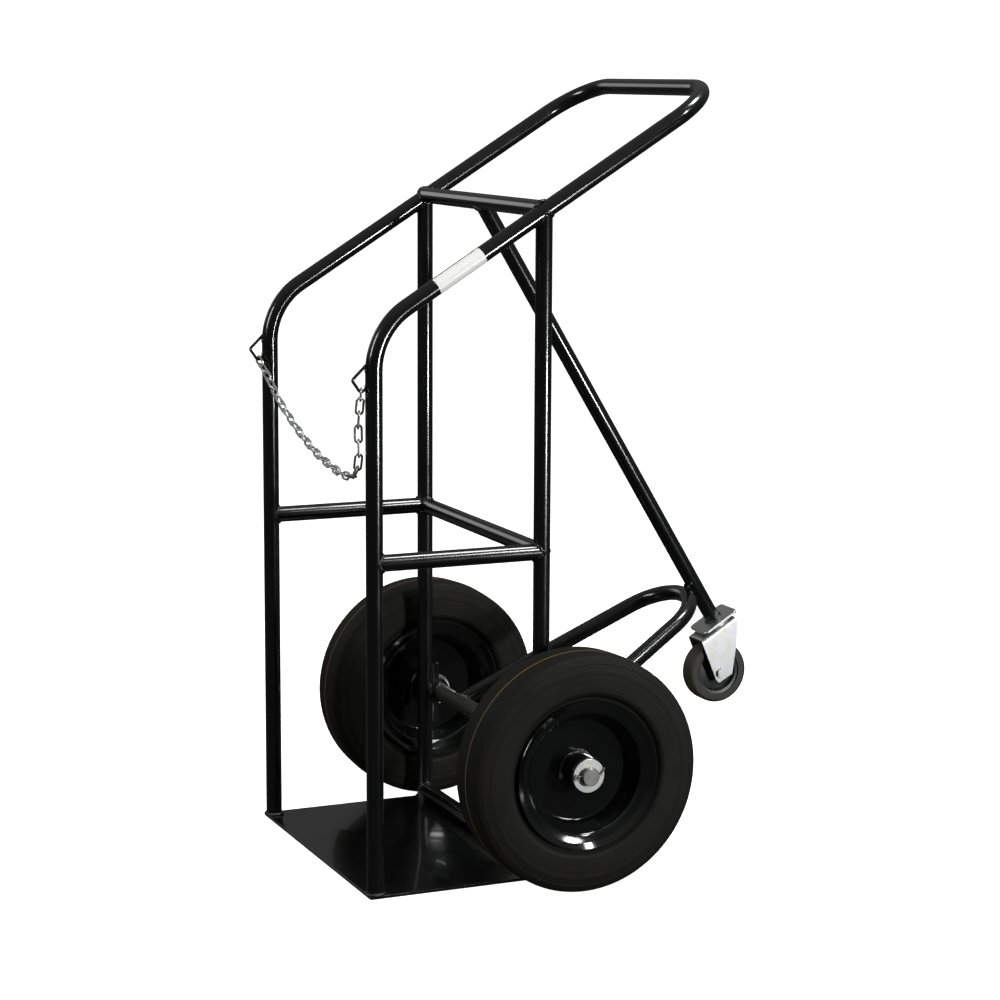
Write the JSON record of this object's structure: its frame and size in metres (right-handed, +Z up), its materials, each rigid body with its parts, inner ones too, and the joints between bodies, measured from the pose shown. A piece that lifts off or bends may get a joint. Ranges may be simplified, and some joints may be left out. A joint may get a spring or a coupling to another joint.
{
  "type": "oxy acetylene torch cart",
  "caption": "Tilt-back welding cylinder cart: bent-tube frame and handle, flat base plate, solid-tyred wheels on an axle, rear strut with swivel castor, retaining chain.",
  "frame": {"origin": "centre of the base plate's underside, on the ground", "axes": "+Z up; +Y from the load side with the chain towards the handle and the castor; +X across the cart to its right side as seen from behind the chain"},
  "size_m": [0.776, 0.8518, 1.3204],
  "materials": {
    "frame_enamel": "gloss black enamel",
    "rim_enamel": "gloss black enamel",
    "tyre_rubber": "matte black rubber",
    "castor_rubber": "matte black rubber",
    "castor_core": "moulded black nylon",
    "zinc_plate": "bright zinc plate",
    "bare_steel": "cut and ground steel",
    "label_vinyl": "white vinyl label"
  },
  "bodies": {
    "frame": {"base_plate": "frame_enamel", "handle_frame": "frame_enamel", "rear_upright_left": "frame_enamel", "rear_upright_right": "frame_enamel", "side_rail_left": "frame_enamel", "side_rail_right": "frame_enamel", "rear_rail": "frame_enamel", "top_crossbar": "frame_enamel", "rear_foot_bar": "frame_enamel", "axle": "bare_steel", "axle_bracket_left": "frame_enamel", "axle_bracket_right": "frame_enamel", "axle_collar_left": "frame_enamel", "axle_collar_right": "frame_enamel", "wheel_washers_left": "zinc_plate", "wheel_washers_right": "zinc_plate", "split_pin_left": "bare_steel", "split_pin_right": "bare_steel", "castor_strut": "frame_enamel", "rear_loop": "frame_enamel", "chain_eye_left": "frame_enamel", "chain_eye_right": "frame_enamel", "castor_top_plate": "zinc_plate", "castor_kingpin": "zinc_plate", "castor_lower_cup": "zinc_plate", "blank_label": "label_vinyl"},
    "left_wheel": {"tyre_left": "tyre_rubber", "rim_outer_left": "rim_enamel", "rim_inner_left": "rim_enamel", "hub_left": "rim_enamel", "roller_set_left": "bare_steel", "roller_cage_left": "bare_steel"},
    "right_wheel": {"tyre_right": "tyre_rubber", "rim_outer_right": "rim_enamel", "rim_inner_right": "rim_enamel", "hub_right": "rim_enamel", "roller_set_right": "bare_steel", "roller_cage_right": "bare_steel"},
    "castor": {"castor_fork": "zinc_plate", "castor_race_ring": "zinc_plate", "castor_upper_balls": "bare_steel", "castor_lower_balls": "bare_steel", "castor_axle_sleeve": "zinc_plate", "castor_axle_bolt": "zinc_plate", "castor_axle_nut": "zinc_plate"},
    "castor_roller": {"castor_wheel_core": "castor_core", "castor_tyre": "castor_rubber"},
    "chain": {"chain_links": "zinc_plate", "chain_hook": "zinc_plate"}
  },
  "joints": [
    {"name": "left_wheel_spin", "type": "hinge", "parent": "frame", "child": "left_wheel", "pos_m": [-0.33, 0.1787, 0.2], "axis": [1, 0, 0], "continuous": true},
    {"name": "right_wheel_spin", "type": "hinge", "parent": "frame", "child": "right_wheel", "pos_m": [0.33, 0.1787, 0.2], "axis": [1, 0, 0], "continuous": true},
    {"name": "castor_swivel", "type": "hinge", "parent": "frame", "child": "castor", "pos_m": [0, 0.60623, 0.35501], "axis": [0, -0.518, 0.8554], "continuous": true},
    {"name": "castor_wheel_spin", "type": "hinge", "parent": "castor", "child": "castor_roller", "pos_m": [0, 0.60997, 0.25907], "axis": [1, 0, 0], "continuous": true},
    {"name": "chain_swing", "type": "hinge", "parent": "frame", "child": "chain", "pos_m": [0, -0.1673, 0.8375], "axis": [1, 0, 0], "range_deg": [-60, 0.5]}
  ]
}
